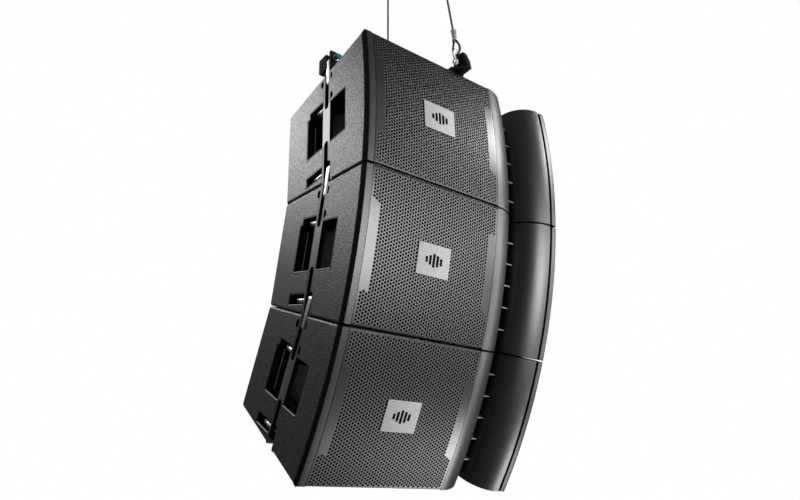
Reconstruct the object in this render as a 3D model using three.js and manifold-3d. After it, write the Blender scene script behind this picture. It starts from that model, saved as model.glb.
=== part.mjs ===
// A flown line array: three wedge-shaped speaker cabinets pinned into one arc under an array frame
// that hangs from two wire ropes. Millimetres, +Z up, X to the right seen from the front, front to -Y.
// Inside a cabinet's group Y is the depth behind the front arc and Z the height from the centre plane.
import * as THREE from 'three';
import { mergeVertices } from 'three/addons/utils/BufferGeometryUtils.js';
import Module from 'manifold-3d';

const wasm = await Module();
wasm.setup();

// Driving dimensions
const CABINET_WIDTH = 597;
const CABINET_HEIGHT = 349; // chord of the front arc
const CABINET_DEPTH = 444;
const SIDE_DEPTH = 364; // where the rear corners are cut off in plan
const REAR_WIDTH = 433;
const WEDGE = THREE.MathUtils.degToRad(15); // each cabinet turns this much below the one above
const END_CLEARANCE = THREE.MathUtils.degToRad(0.05); // keeps neighbouring cabinets apart
const PANEL = 15; // plywood thickness
const FIT = 0.3; // gap between touching pieces

const ARC_RADIUS = CABINET_HEIGHT / (2 * Math.sin(WEDGE / 2));
const HALF_ANGLE = WEDGE / 2 - END_CLEARANCE;
const HALF_ARC = ARC_RADIUS * HALF_ANGLE;
const HALF_WIDTH = CABINET_WIDTH / 2;
const ARC_STEPS = 4;

// Front layout, left to right: trim edge, grille over the woofer, horn, trim edge
const GRILLE_LEFT = -277;
const HORN_LEFT = 86;
const HORN_RIGHT = 276;
const BAFFLE_FRONT = 38;
const BAFFLE_BACK = 56;
const WOOFER_X = (GRILLE_LEFT + HORN_LEFT) / 2;
const WOOFER_HOLE = 141;
const HORN_X = (HORN_LEFT + HORN_RIGHT) / 2;
const HORN_THROAT_DEPTH = 75;
const HORN_SLOT_HALF = 11;
const HORN_BACK = 90;
const HORN_BLOCK_BACK = 60;
const VANE_FRONT = 54; // front edge of the thin vanes across the horn's throat
const VANE_REACH = 15.5; // runs into the flare's walls at that depth

// Side hardware, as depth and height on a cabinet's side
const RAIL_FACE = HALF_WIDTH - FIT; // |x| of the rail's outer face
const RAIL_BACK = 266.5; // |x| of the rail's inner face
const RAIL_WEB = 270.5; // |x| of the slots' floor
const RAIL_FRONT = 160;
const RAIL_REAR = 192;
const BAR_X = 286.5; // |x| of the link bars' centre line
const BAR_DEPTH = 176;
const BAR_THICKNESS = 15;
const BAR_END_RADIUS = 10;
const BAR_PITCH = 63; // hinge pin to locking hole
const HINGE_HEIGHT = 126;
const STOW_HEIGHT = HINGE_HEIGHT - BAR_PITCH;
const PIN_RADIUS = 4;
const PIN_HOLE_RADIUS = 4.6;
const KNOB_RADIUS = 8;
const COLLAR_LENGTH = 6;
const GRIP_RADIUS = 7;
const STORAGE_GRIP = 35; // lengths of the three kinds of pin grip, with their collars
const LOCK_GRIP = 43;
const FRAME_GRIP = 16;
const SLOT_FRONT = BAR_DEPTH - BAR_THICKNESS / 2 - 0.8;
const SLOT_REAR = BAR_DEPTH + BAR_THICKNESS / 2 + 0.9;
const HANDLE = { front: 93, rear: 265, bottom: -52, top: 60, pocketTop: 76, pocketRear: 255 };
const HANDLE_INNER = 228; // |x| of the hand cup's floor
const SHEET = 3; // wall of the pressed cups

// A bar stands straight up from its own cabinet, so it leans forward in the cabinet above
const BAR_REACH = HINGE_HEIGHT + BAR_PITCH;
const LOCK_RANGE = Math.hypot(ARC_RADIUS - BAR_DEPTH, BAR_REACH);
const LOCK_ANGLE = Math.atan2(BAR_REACH, ARC_RADIUS - BAR_DEPTH) - WEDGE;
const LOCK_HEIGHT = LOCK_RANGE * Math.sin(LOCK_ANGLE);

// Array frame and ropes, in the top cabinet's depth and height
const FRAME_TOP = 205;
const FRAME_BOTTOM = 180;
const FRAME_PIN_HEIGHT = BAR_REACH;
const BRACKET_FRONT = 160; // depth of the end brackets' front face
const PICK_HEIGHT = 216;
const FRONT_PICK = { depth: 21.5, lean: 0.128, ropeTop: 462 };
const REAR_PICK = { depth: 336.5, lean: -0.03, ropeTop: 676 };
const ROPE_RADIUS = 3;
const SHACKLE_BOW = 46; // pin to the inside of the bow
const FERRULE_BOTTOM = 296;
const FERRULE_TOP = 334;
const FERRULE_RADIUS = 8.5;

const material = (color, roughness, metalness) =>
  new THREE.MeshStandardMaterial({ color, roughness, metalness });
const paint = material(0x3a3b3d, 0.75, 0);
const grillePaint = material(0x4a4b4d, 0.6, 0.4);
const blackPlastic = material(0x17181a, 0.4, 0);
const blackSteel = material(0x202225, 0.5, 0.6);
const bareSteel = material(0xc4c6ca, 0.35, 1);
const darkCone = material(0x232427, 0.85, 0);
const castMetal = material(0x55585c, 0.55, 0.8);
const tealPlastic = material(0x2b7f8c, 0.45, 0);

// Solids

function toSolid(geometry) {
  const bare = geometry.index ? geometry.toNonIndexed() : geometry;
  for (const name of Object.keys(bare.attributes)) {
    if (name !== 'position') bare.deleteAttribute(name);
  }
  const merged = mergeVertices(bare, 1e-4);
  return new wasm.Manifold(new wasm.Mesh({
    numProp: 3,
    vertProperties: new Float32Array(merged.attributes.position.array),
    triVerts: new Uint32Array(merged.index.array),
  }));
}

function toGeometry(solid) {
  const mesh = solid.getMesh();
  const geometry = new THREE.BufferGeometry();
  geometry.setAttribute('position', new THREE.BufferAttribute(new Float32Array(mesh.vertProperties), 3));
  geometry.setIndex(new THREE.BufferAttribute(new Uint32Array(mesh.triVerts), 1));
  geometry.computeVertexNormals();
  return geometry;
}

const outline = (points) => new THREE.Shape(points.map(([x, y]) => new THREE.Vector2(x, y)));
const extrusion = (shape, depth, steps = 1) =>
  new THREE.ExtrudeGeometry(shape, { depth, steps, bevelEnabled: false, curveSegments: 5 });

// A plan outline (x, depth) between two heights
function upright(points, low, high) {
  const geometry = extrusion(outline(points), high - low);
  geometry.translate(0, 0, low);
  return toSolid(geometry);
}

// A side outline (depth, height) between two x
function across(points, xa, xb) {
  const low = Math.min(xa, xb);
  const geometry = extrusion(outline(points), Math.abs(xb - xa));
  geometry.applyMatrix4(new THREE.Matrix4().makeBasis(
    new THREE.Vector3(0, 1, 0), new THREE.Vector3(0, 0, 1), new THREE.Vector3(1, 0, 0)));
  geometry.translate(low, 0, 0);
  return toSolid(geometry);
}

// A front shape (x, height) between two depths
function through(shape, front, back) {
  const geometry = extrusion(shape, back - front);
  geometry.rotateX(Math.PI / 2);
  geometry.translate(0, back, 0);
  return geometry;
}

// A plan outline swept along the cabinet's front arc between two arc heights
function alongArc(points, low, high, steps = ARC_STEPS) {
  const geometry = extrusion(outline(points), high - low, steps);
  geometry.translate(0, 0, low);
  const position = geometry.attributes.position;
  for (let i = 0; i < position.count; i += 1) {
    const radius = ARC_RADIUS - position.getY(i);
    const angle = position.getZ(i) / ARC_RADIUS;
    position.setY(i, ARC_RADIUS - radius * Math.cos(angle));
    position.setZ(i, radius * Math.sin(angle));
  }
  return toSolid(geometry);
}

function block(xa, xb, front, back, low, high) {
  const geometry = new THREE.BoxGeometry(Math.abs(xb - xa), back - front, high - low);
  geometry.translate((xa + xb) / 2, (front + back) / 2, (low + high) / 2);
  return toSolid(geometry);
}

// A round bar along the depth
function depthRod(radius, x, height, front, back, sides = 10) {
  const geometry = new THREE.CylinderGeometry(radius, radius, back - front, sides);
  geometry.translate(x, (front + back) / 2, height);
  return toSolid(geometry);
}

// A round bar along X
function crossRod(radius, depth, height, xa, xb, sides = 12) {
  const geometry = new THREE.CylinderGeometry(radius, radius, Math.abs(xb - xa), sides);
  geometry.rotateZ(Math.PI / 2);
  geometry.translate((xa + xb) / 2, depth, height);
  return toSolid(geometry);
}

const rectangle = (left, right, front, back) => [[left, front], [right, front], [right, back], [left, back]];
const wedgeHalfHeight = (depth) => (ARC_RADIUS - depth) * Math.tan(HALF_ANGLE);

// The wedge between the two joint planes, inset by a wall, from one depth to another
function wedgeOutline(front, back, inset) {
  return [
    [front, inset - wedgeHalfHeight(front)],
    [back, inset - wedgeHalfHeight(back)],
    [back, wedgeHalfHeight(back) - inset],
    [front, wedgeHalfHeight(front) - inset],
  ];
}

function frontArcOutline() {
  const points = [];
  for (let i = 0; i <= ARC_STEPS; i += 1) {
    const angle = HALF_ANGLE * (1 - (2 * i) / ARC_STEPS);
    points.push([ARC_RADIUS * (1 - Math.cos(angle)), ARC_RADIUS * Math.sin(angle)]);
  }
  const rear = wedgeHalfHeight(CABINET_DEPTH);
  return [...points, [CABINET_DEPTH, -rear], [CABINET_DEPTH, rear]];
}

// Pieces of one cabinet

const PANEL_HALF_WIDTH = 75;
const PANEL_HALF_HEIGHT = 45;
const SOCKET_DEPTH_PLACE = 200; // pole socket, behind the front
const SOCKET_RADIUS = 18;
const SOCKET_LENGTH = 55;

// A round bar square to the bottom joint plane, rising into the cabinet
function socketRod(radius, from, to) {
  const geometry = new THREE.CylinderGeometry(radius, radius, to - from, 12);
  geometry.rotateX(Math.PI / 2);
  geometry.translate(0, 0, (from + to) / 2);
  geometry.rotateX(HALF_ANGLE);
  geometry.translate(0, SOCKET_DEPTH_PLACE, -wedgeHalfHeight(SOCKET_DEPTH_PLACE));
  return toSolid(geometry);
}

// The side cut-out that the rail and its cups fill, grown by a gap
function railHousing(side, grow) {
  const face = HALF_WIDTH + 5;
  const cup = block(side * (HANDLE_INNER - SHEET - grow), side * face, HANDLE.front - SHEET - grow,
    HANDLE.rear + SHEET + grow, HANDLE.bottom - SHEET - grow, HANDLE.top + SHEET + grow);
  const pocket = block(side * (HANDLE_INNER - SHEET - grow), side * face, RAIL_REAR - grow,
    HANDLE.pocketRear + SHEET + grow, HANDLE.top, HANDLE.pocketTop + SHEET + grow);
  const channel = across([
    [RAIL_FRONT - grow, 200], [RAIL_FRONT - grow, -90], [RAIL_FRONT - 12 - grow, -100],
    [RAIL_FRONT - 12 - grow, -200], [RAIL_REAR + grow, -200], [RAIL_REAR + grow, 200],
  ], side * (RAIL_BACK - grow), side * face);
  const finger = block(side * (RAIL_BACK - grow), side * face, RAIL_REAR - 2,
    264 + SHEET + grow, LOCK_HEIGHT - 14 - grow, LOCK_HEIGHT + 16 + grow);
  return cup.add(pocket).add(channel).add(finger);
}

function enclosure() {
  const halfRear = REAR_WIDTH / 2;
  const plan = upright([
    [-HALF_WIDTH, -5], [HALF_WIDTH, -5], [HALF_WIDTH, SIDE_DEPTH],
    [halfRear, CABINET_DEPTH], [-halfRear, CABINET_DEPTH], [-HALF_WIDTH, SIDE_DEPTH],
  ], -200, 200);
  let shell = across(frontArcOutline(), -HALF_WIDTH, HALF_WIDTH).intersect(plan);
  const innerSide = HALF_WIDTH - PANEL;
  const innerRear = halfRear - PANEL / 2;
  const chest = upright([
    [-innerSide, BAFFLE_BACK], [innerSide, BAFFLE_BACK], [innerSide, SIDE_DEPTH - PANEL / 2],
    [innerRear, CABINET_DEPTH - PANEL], [-innerRear, CABINET_DEPTH - PANEL],
    [-innerSide, SIDE_DEPTH - PANEL / 2],
  ], -200, 200);
  const hollow = across(wedgeOutline(0, CABINET_DEPTH - PANEL, PANEL), -innerSide, innerSide)
    .intersect(chest);
  shell = shell.subtract(hollow);
  // grille and horn rebate, then the grille's chamber in front of the baffle
  shell = shell.subtract(alongArc(rectangle(GRILLE_LEFT, HORN_RIGHT, -9, 14), -HALF_ARC - 9, HALF_ARC + 9));
  shell = shell.subtract(across(wedgeOutline(5, BAFFLE_FRONT, PANEL), GRILLE_LEFT, HORN_LEFT));
  shell = shell.subtract(depthRod(WOOFER_HOLE, WOOFER_X, 0, BAFFLE_FRONT - 2, BAFFLE_BACK + 2, 20));
  shell = shell.subtract(
    alongArc(rectangle(HORN_LEFT, HORN_RIGHT, -9, HORN_BLOCK_BACK + FIT), -HALF_ARC - 9, HALF_ARC + 9, 2));
  // the pole socket's boss stands inside, and its bore opens in the bottom
  const boss = socketRod(SOCKET_RADIUS + 10, 0, SOCKET_LENGTH + 8);
  shell = shell.add(boss.intersect(across(wedgeOutline(60, 430, PANEL - 2), -100, 100)));
  shell = shell.subtract(socketRod(SOCKET_RADIUS, -10, SOCKET_LENGTH));
  for (const side of [-1, 1]) shell = shell.subtract(railHousing(side, FIT));
  shell = shell.subtract(block(-PANEL_HALF_WIDTH - FIT, PANEL_HALF_WIDTH + FIT, CABINET_DEPTH - 40,
    CABINET_DEPTH + 5, -PANEL_HALF_HEIGHT - FIT, PANEL_HALF_HEIGHT + FIT));
  return toGeometry(shell);
}

function grille() {
  const left = GRILLE_LEFT + FIT;
  const right = HORN_LEFT - FIT;
  const sheet = 2;
  const flange = 9;
  return toGeometry(alongArc([
    [left, 0], [right, 0], [right, flange], [right - sheet, flange],
    [right - sheet, sheet], [left + sheet, sheet], [left + sheet, flange], [left, flange],
  ], -HALF_ARC, HALF_ARC));
}

// One side of the flare: flat at the mouth, turning into the throat along a quarter ellipse
function flarePoints(side) {
  const points = [];
  const mouth = HORN_X - HORN_LEFT - FIT;
  for (let degrees = 0; degrees <= 90; degrees += 22.5) {
    const turn = THREE.MathUtils.degToRad(degrees);
    points.push([
      HORN_X + side * (mouth - (mouth - HORN_SLOT_HALF) * Math.sin(turn)),
      HORN_THROAT_DEPTH * (1 - Math.cos(turn)),
    ]);
  }
  return points;
}

function waveguide() {
  const edge = HORN_X - HORN_LEFT - FIT;
  let horn = null;
  for (const side of [-1, 1]) {
    const wall = [
      ...flarePoints(side),
      [HORN_X + side * HORN_SLOT_HALF, HORN_BACK],
      [HORN_X + side * (HORN_SLOT_HALF + 12), HORN_BACK],
      [HORN_X + side * (HORN_SLOT_HALF + 20), HORN_BLOCK_BACK],
      [HORN_X + side * edge, HORN_BLOCK_BACK],
    ];
    const blockSolid = alongArc(wall, -HALF_ARC, HALF_ARC);
    horn = horn ? horn.add(blockSolid) : blockSolid;
  }
  // behind the block the horn stays clear of the top and bottom panels
  const room = across(wedgeOutline(-9, HORN_BACK + 5, PANEL + 2), HORN_LEFT, HORN_RIGHT);
  const front = block(HORN_LEFT, HORN_RIGHT, -9, HORN_BLOCK_BACK, -200, 200);
  horn = horn.intersect(room.add(front));
  const vaneCount = 5;
  const vane = [
    [HORN_X - VANE_REACH, VANE_FRONT], [HORN_X + VANE_REACH, VANE_FRONT],
    [HORN_X + HORN_SLOT_HALF + 2, HORN_BLOCK_BACK], [HORN_X + HORN_SLOT_HALF + 2, HORN_BACK - 1],
    [HORN_X - HORN_SLOT_HALF - 2, HORN_BACK - 1], [HORN_X - HORN_SLOT_HALF - 2, HORN_BLOCK_BACK],
  ];
  for (let i = 0; i < vaneCount; i += 1) {
    const place = ((i + 1) / (vaneCount + 1) - 0.5) * 2 * HALF_ARC;
    horn = horn.add(alongArc(vane, place - 1.2, place + 1.2, 1));
  }
  return toGeometry(horn);
}

// Three compression drivers on one throat plate, each square to the arc
function driverBank() {
  let bank = alongArc(rectangle(HORN_X - 26, HORN_X + 26, HORN_BACK + 1.2, HORN_BACK + 9), -138, 138, 4);
  bank = bank.subtract(alongArc(
    rectangle(HORN_X - HORN_SLOT_HALF, HORN_X + HORN_SLOT_HALF, HORN_BACK - 5, HORN_BACK + 12), -130, 130, 2));
  for (const turn of [-1, 0, 1]) {
    const geometry = new THREE.CylinderGeometry(36, 28, 44, 12);
    geometry.translate(0, HORN_BACK + 8 + 22 - ARC_RADIUS, 0);
    geometry.rotateX(THREE.MathUtils.degToRad(4.6 * turn));
    geometry.translate(HORN_X, ARC_RADIUS, 0);
    bank = bank.add(toSolid(geometry));
  }
  return toGeometry(bank);
}

const LATHE_SIDES = 16;
function turned(points) {
  const geometry = new THREE.LatheGeometry(points.map(([r, d]) => new THREE.Vector2(r, d)), LATHE_SIDES);
  geometry.translate(WOOFER_X, 0, 0);
  return toGeometry(toSolid(geometry));
}

const wooferFrame = () => turned([
  [0, 108], [62, 108], [135.5, 42], [135.5, 31], [152, 31], [152, BAFFLE_FRONT - FIT],
  [139, BAFFLE_FRONT - FIT], [139, 45], [70, 112], [75, 112], [75, 150], [0, 150],
]);

const wooferCone = () => turned([
  [0, 62], [28, 66], [42, 75], [115, 28], [125, 23], [134.5, 27], [134.5, 30],
  [125, 27], [115, 32], [41, 80], [41, 98], [38, 98], [38, 78], [28, 70], [0, 66],
]);

// Suspension rail: a slotted steel channel in one piece with its hand cup and finger cup
function suspensionRail(side) {
  const housing = railHousing(side, 0);
  const ends = across(wedgeOutline(60, 300, 0), -HALF_WIDTH, HALF_WIDTH);
  const faceCut = block(-RAIL_FACE, RAIL_FACE, 0, 400, -200, 200);
  let rail = housing.intersect(ends).intersect(faceCut);
  const outside = side * (HALF_WIDTH + 10);
  const gripBack = RAIL_FACE - 10;
  // hollow the hand cup on both sides of the strip that crosses it, and behind the strip
  const inner = side * HANDLE_INNER;
  rail = rail.subtract(block(inner, outside, HANDLE.front, RAIL_FRONT, HANDLE.bottom, HANDLE.top));
  rail = rail.subtract(block(inner, outside, RAIL_REAR, HANDLE.rear, HANDLE.bottom, HANDLE.top));
  rail = rail.subtract(block(inner, outside, RAIL_REAR, HANDLE.pocketRear, HANDLE.top - 1, HANDLE.pocketTop));
  rail = rail.subtract(block(inner, side * gripBack, HANDLE.front, HANDLE.rear, HANDLE.bottom, 44));
  rail = rail.subtract(block(inner, side * RAIL_BACK, HANDLE.front, HANDLE.rear, HANDLE.bottom, HANDLE.top));
  // upper slot stows the bar, lower slot takes the bar of the cabinet below
  rail = rail.subtract(across([
    [SLOT_FRONT, 52], [SLOT_FRONT + 4, 48], [SLOT_REAR - 4, 48], [SLOT_REAR, 52],
    [SLOT_REAR, 200], [SLOT_FRONT, 200],
  ], side * RAIL_WEB, outside));
  rail = rail.subtract(across([
    [SLOT_FRONT, -48], [SLOT_FRONT, -99], [SLOT_FRONT - 12.5, -105], [SLOT_FRONT - 12.5, -200],
    [SLOT_REAR, -200], [SLOT_REAR, -48], [SLOT_REAR - 4, -44], [SLOT_FRONT + 4, -44],
  ], side * RAIL_WEB, outside));
  rail = rail.subtract(block(side * RAIL_WEB, outside, RAIL_REAR, 264,
    LOCK_HEIGHT - 14 + SHEET, LOCK_HEIGHT + 16 - SHEET));
  rail = rail.add(depthRod(PIN_RADIUS, side * BAR_X, HINGE_HEIGHT, SLOT_FRONT - 2, SLOT_REAR + 2));
  for (const height of [STOW_HEIGHT, LOCK_HEIGHT]) {
    rail = rail.subtract(depthRod(PIN_HOLE_RADIUS, side * BAR_X, height, RAIL_FRONT - 20, RAIL_REAR + 5));
  }
  return toGeometry(rail);
}

function linkBar(side) {
  const shape = new THREE.Shape();
  const x = side * BAR_X;
  shape.absarc(x, BAR_REACH, BAR_END_RADIUS, 0, Math.PI, false);
  shape.absarc(x, HINGE_HEIGHT, BAR_END_RADIUS, Math.PI, 2 * Math.PI, false);
  shape.closePath();
  const hingeHole = new THREE.Path();
  hingeHole.absarc(x, HINGE_HEIGHT, PIN_RADIUS + 0.5, 0, 2 * Math.PI, true);
  const lockHole = new THREE.Path();
  lockHole.absarc(x, BAR_REACH, PIN_RADIUS + 2.7, 0, 2 * Math.PI, true);
  shape.holes.push(hingeHole, lockHole);
  const half = BAR_THICKNESS / 2;
  return toGeometry(toSolid(through(shape, BAR_DEPTH - half, BAR_DEPTH + half)));
}

// Quick-release pin: shank, collar and grip; outward is the depth direction that it is pulled in
function quickPin(x, height, tip, seat, outward, gripLength) {
  const parts = [
    [PIN_RADIUS, tip, seat],
    [KNOB_RADIUS, seat, seat + outward * COLLAR_LENGTH],
    [GRIP_RADIUS, seat, seat + outward * gripLength],
  ];
  let pin = null;
  for (const [radius, from, to] of parts) {
    const rod = depthRod(radius, x, height, Math.min(from, to), Math.max(from, to));
    pin = pin ? pin.add(rod) : rod;
  }
  return toGeometry(pin);
}

const CONNECTOR_X = 45;
const SELECTOR_POCKET = 16;

function inputPanel() {
  const back = CABINET_DEPTH - 0.5;
  let plate = block(-PANEL_HALF_WIDTH, PANEL_HALF_WIDTH, back - 26, back,
    -PANEL_HALF_HEIGHT, PANEL_HALF_HEIGHT);
  for (const x of [-CONNECTOR_X, CONNECTOR_X]) plate = plate.subtract(depthRod(13, x, 0, back - 20, back + 5));
  plate = plate.subtract(depthRod(SELECTOR_POCKET, 0, 0, back - 14, back + 5));
  plate = plate.add(depthRod(3, 0, 0, back - 15, back - 9, 8));
  return toGeometry(plate);
}

function selector() {
  const back = CABINET_DEPTH - 0.5;
  let knob = depthRod(11, 0, 0, back - 13, back - 3);
  knob = knob.subtract(depthRod(3.4, 0, 0, back - 20, back - 8, 8));
  knob = knob.add(block(-1.5, 1.5, back - 12, back - 2, -12, 12));
  knob = knob.subtract(depthRod(3.4, 0, 0, back - 20, back - 8, 8));
  return toGeometry(knob);
}

// Rigging above the top cabinet

function liftingLug(pick) {
  const points = [
    [pick - 38, FRAME_BOTTOM], [pick + 26, FRAME_BOTTOM], [pick + 22, FRAME_TOP],
    [pick + 3, PICK_HEIGHT + 23], [pick - 22, PICK_HEIGHT + 21], [pick - 34, FRAME_TOP],
  ];
  return across(points, -6, 6).subtract(crossRod(7, pick, PICK_HEIGHT, -10, 10));
}

function arrayFrame() {
  let frame = block(-20, 20, FRONT_PICK.depth + 8, REAR_PICK.depth - 20, FRAME_BOTTOM, FRAME_TOP);
  frame = frame.add(block(-269, 269, RAIL_FRONT, RAIL_REAR, FRAME_BOTTOM, FRAME_TOP));
  for (const side of [-1, 1]) {
    const bracket = across([
      [BRACKET_FRONT, 162], [SLOT_FRONT, 162], [SLOT_FRONT, 210], [BRACKET_FRONT, 210],
    ], side * 268, side * RAIL_FACE).add(across([
      [SLOT_REAR, 172], [195, 172], [203, 166], [211, 166], [217, 172], [217, 213], [SLOT_REAR, 213],
    ], side * 268, side * RAIL_FACE)).add(
      block(side * 266, side * 271, BRACKET_FRONT + 1, 215, FRAME_BOTTOM, 210));
    frame = frame.add(bracket);
    frame = frame.subtract(depthRod(PIN_HOLE_RADIUS, side * BAR_X, FRAME_PIN_HEIGHT, 150, 208));
  }
  frame = frame.subtract(
    block(-12, 12, FRONT_PICK.depth - 60, FRONT_PICK.depth + 20, FRAME_TOP, FRAME_TOP + 60));
  return toGeometry(frame.add(liftingLug(FRONT_PICK.depth)).add(liftingLug(REAR_PICK.depth)));
}

// A tube of even section along a path of points (x, depth, height)
function tube(path, radius, sides, steps) {
  const section = new THREE.Shape();
  for (let i = 0; i < sides; i += 1) {
    const angle = (2 * Math.PI * i) / sides;
    const point = [radius * Math.cos(angle), radius * Math.sin(angle)];
    if (i === 0) section.moveTo(...point);
    else section.lineTo(...point);
  }
  section.closePath();
  return new THREE.ExtrudeGeometry(section, { steps, extrudePath: path, bevelEnabled: false });
}

const polyline = (points) =>
  new THREE.CatmullRomCurve3(points.map((p) => new THREE.Vector3(...p)), false, 'centripetal');

// A point on a pick's rope line, at a height
const onRope = (pick, height, x = 0) => [x, pick.depth + pick.lean * (height - PICK_HEIGHT), height];

// Bow shackle: its pin lies in the lug's hole and its bow passes through the rope's eye
function shackle(pick) {
  const half = 12;
  const top = PICK_HEIGHT + SHACKLE_BOW;
  const points = [
    onRope(pick, PICK_HEIGHT - 3, -half), onRope(pick, PICK_HEIGHT + 12, -half),
    onRope(pick, PICK_HEIGHT + 28, -half - 2), onRope(pick, top - 6, -half + 3), onRope(pick, top, 0),
    onRope(pick, top - 6, half - 3), onRope(pick, PICK_HEIGHT + 28, half + 2),
    onRope(pick, PICK_HEIGHT + 12, half), onRope(pick, PICK_HEIGHT - 3, half),
  ];
  let body = toSolid(tube(polyline(points), 4, 6, 14));
  body = body.add(crossRod(4.5, pick.depth, PICK_HEIGHT, -half - 9, half + 9, 8));
  return toGeometry(body);
}

// Thimble eye and pressed ferrule; direction 1 has the eye below its ferrule, -1 above
function ropeEye(pick, ferruleFoot, ferruleTop, direction) {
  const centre = direction > 0 ? ferruleFoot : ferruleTop;
  const along = (distance, y) => {
    const [, depth, height] = onRope(pick, centre - direction * distance);
    return [0, depth + y, height];
  };
  const loop = [
    along(-4, -3.6), along(6, -6), along(20, -11), along(34, -12.5), along(44, -7.5), along(47.5, 0),
    along(44, 7.5), along(34, 12.5), along(20, 11), along(6, 6), along(-4, 3.6),
  ];
  let eye = toSolid(tube(polyline(loop), 3.6, 6, 16));
  const path = new THREE.LineCurve3(
    new THREE.Vector3(...onRope(pick, ferruleFoot)), new THREE.Vector3(...onRope(pick, ferruleTop)));
  eye = eye.add(toSolid(tube(path, FERRULE_RADIUS, 8, 1)));
  return toGeometry(eye);
}

function rope(pick) {
  const path = new THREE.LineCurve3(
    new THREE.Vector3(...onRope(pick, FERRULE_TOP + FIT)), new THREE.Vector3(...onRope(pick, pick.ropeTop - FIT)));
  return tube(path, ROPE_RADIUS, 8, 1);
}

// Assembly

const lineArray = new THREE.Group();
// the row's origin is the rear pick, where the rope pulls on the array frame
const arc = new THREE.Group();
arc.position.set(0, ARC_RADIUS - REAR_PICK.depth, -PICK_HEIGHT);
lineArray.add(arc);

function place(parent, name, geometry, look) {
  const mesh = new THREE.Mesh(geometry, look);
  mesh.name = name;
  parent.add(mesh);
}

const SIDES = [['left', -1], ['right', 1]];
const PIN_SEAT = RAIL_REAR + 1;

['top', 'mid', 'low'].forEach((name, index) => {
  const turned15 = new THREE.Group();
  turned15.rotation.x = index * WEDGE;
  const cabinet = new THREE.Group();
  cabinet.position.y = -ARC_RADIUS;
  turned15.add(cabinet);
  arc.add(turned15);
  place(cabinet, `${name}_enclosure`, enclosure(), paint);
  place(cabinet, `${name}_grille`, grille(), grillePaint);
  place(cabinet, `${name}_waveguide`, waveguide(), blackPlastic);
  place(cabinet, `${name}_hf_driver_bank`, driverBank(), castMetal);
  place(cabinet, `${name}_woofer_frame`, wooferFrame(), castMetal);
  place(cabinet, `${name}_woofer_cone`, wooferCone(), darkCone);
  place(cabinet, `${name}_input_panel`, inputPanel(), blackSteel);
  place(cabinet, `${name}_selector`, selector(), blackPlastic);
  for (const [sideName, side] of SIDES) {
    place(cabinet, `${name}_rail_${sideName}`, suspensionRail(side), blackSteel);
    place(cabinet, `${name}_link_bar_${sideName}`, linkBar(side), bareSteel);
    place(cabinet, `${name}_storage_pin_${sideName}`,
      quickPin(side * BAR_X, STOW_HEIGHT, RAIL_FRONT + 1, PIN_SEAT, 1, STORAGE_GRIP), tealPlastic);
    place(cabinet, `${name}_lock_pin_${sideName}`,
      quickPin(side * BAR_X, LOCK_HEIGHT, RAIL_FRONT - 10, PIN_SEAT, 1, LOCK_GRIP), tealPlastic);
  }
});

const rigging = new THREE.Group();
rigging.position.y = -ARC_RADIUS;
arc.add(rigging);
place(rigging, 'array_frame', arrayFrame(), blackSteel);
for (const [sideName, side] of SIDES) {
  place(rigging, `frame_pin_${sideName}`, quickPin(
    side * BAR_X, FRAME_PIN_HEIGHT, 198, BRACKET_FRONT - 0.5, -1, FRAME_GRIP), tealPlastic);
}
for (const [end, pick] of [['front', FRONT_PICK], ['rear', REAR_PICK]]) {
  place(rigging, `shackle_${end}`, shackle(pick), bareSteel);
  place(rigging, `rope_${end}`, rope(pick), castMetal);
  place(rigging, `rope_${end}_lower_eye`, ropeEye(pick, FERRULE_BOTTOM, FERRULE_TOP, 1), castMetal);
  place(rigging, `rope_${end}_upper_eye`, ropeEye(pick, pick.ropeTop, pick.ropeTop + 38, -1), castMetal);
}

export default lineArray;
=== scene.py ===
"""Looks of a flown line array: three curved speaker cabinets pinned under an array frame on two wire ropes.

Sizes are in millimetres in a cabinet's own frame (x across, depth behind the front arc, height from the
centre plane) and become metres when a mesh is made.
"""

import math

import bmesh
import bpy
from mathutils import Matrix, Vector


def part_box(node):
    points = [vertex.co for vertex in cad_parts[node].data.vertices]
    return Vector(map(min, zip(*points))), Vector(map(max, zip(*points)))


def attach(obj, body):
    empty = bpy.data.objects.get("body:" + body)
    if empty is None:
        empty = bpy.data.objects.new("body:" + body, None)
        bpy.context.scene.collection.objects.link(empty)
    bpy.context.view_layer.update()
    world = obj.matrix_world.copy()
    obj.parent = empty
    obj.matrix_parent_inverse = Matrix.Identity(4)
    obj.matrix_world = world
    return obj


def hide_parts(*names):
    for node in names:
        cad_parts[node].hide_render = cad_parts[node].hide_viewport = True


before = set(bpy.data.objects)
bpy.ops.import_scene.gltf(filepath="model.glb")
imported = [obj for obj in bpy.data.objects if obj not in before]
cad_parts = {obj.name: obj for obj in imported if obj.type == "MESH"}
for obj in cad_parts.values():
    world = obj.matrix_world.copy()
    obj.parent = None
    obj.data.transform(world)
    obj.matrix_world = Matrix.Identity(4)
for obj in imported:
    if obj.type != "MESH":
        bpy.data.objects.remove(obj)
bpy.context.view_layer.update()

MM = 0.001
IN_PLACE = Matrix.Identity(4)
ACROSS = (1, 0, 0)
TO_FRONT = (0, -1, 0)
TO_REAR = (0, 1, 0)
ROOT = "rigging_and_cabinets"
CABINETS = ("top", "mid", "low")
SIDES = (("left", -1), ("right", 1))

# Cabinet
WEDGE = math.radians(15)
CABINET_HEIGHT = 349
HALF_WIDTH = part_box("top_enclosure")[1].x / MM
CABINET_DEPTH = 444
SIDE_DEPTH = 364
REAR_WIDTH = 433
PANEL = 15
ARC_RADIUS = CABINET_HEIGHT / (2 * math.sin(WEDGE / 2))
HALF_ANGLE = WEDGE / 2 - math.radians(0.05)
HALF_ARC = ARC_RADIUS * HALF_ANGLE
BOX_FRONT = 10  # the painted box starts here, behind the trim, grille and horn

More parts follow.
